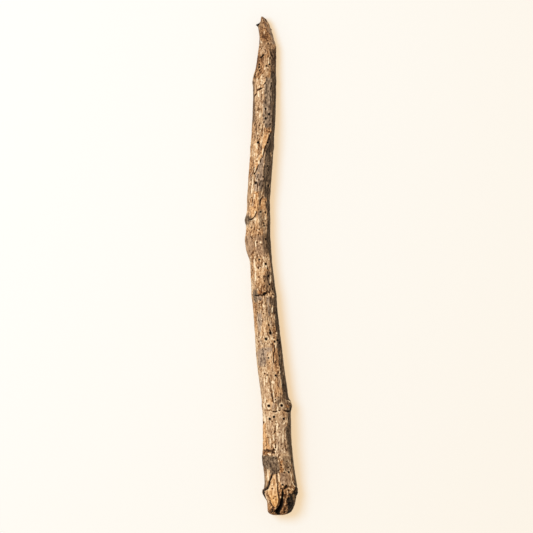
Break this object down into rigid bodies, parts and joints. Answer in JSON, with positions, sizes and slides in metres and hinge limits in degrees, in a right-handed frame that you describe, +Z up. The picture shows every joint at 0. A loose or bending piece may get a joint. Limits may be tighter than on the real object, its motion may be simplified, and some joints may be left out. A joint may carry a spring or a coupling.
{
  "type": "dry wooden stick",
  "caption": "Crooked dry stick of flame of the forest wood with flaking bark, insect exit holes, node collars, a torn thick end and a pointed broken tip.",
  "frame": {"origin": "middle of the base of the stick's box, on the surface that it lies on", "axes": "+Y along the stick from its torn thick end to its thin tip, +Z up, +X to the right when seen from above with the tip at the top"},
  "size_m": [0.032, 0.3, 0.0182],
  "materials": {
    "bark": "dry matt bark, worn from grey outer skin to tan and orange inner bark, with dark borings and cracks"
  },
  "bodies": {
    "root": {"stick": "bark"}
  },
  "joints": []
}
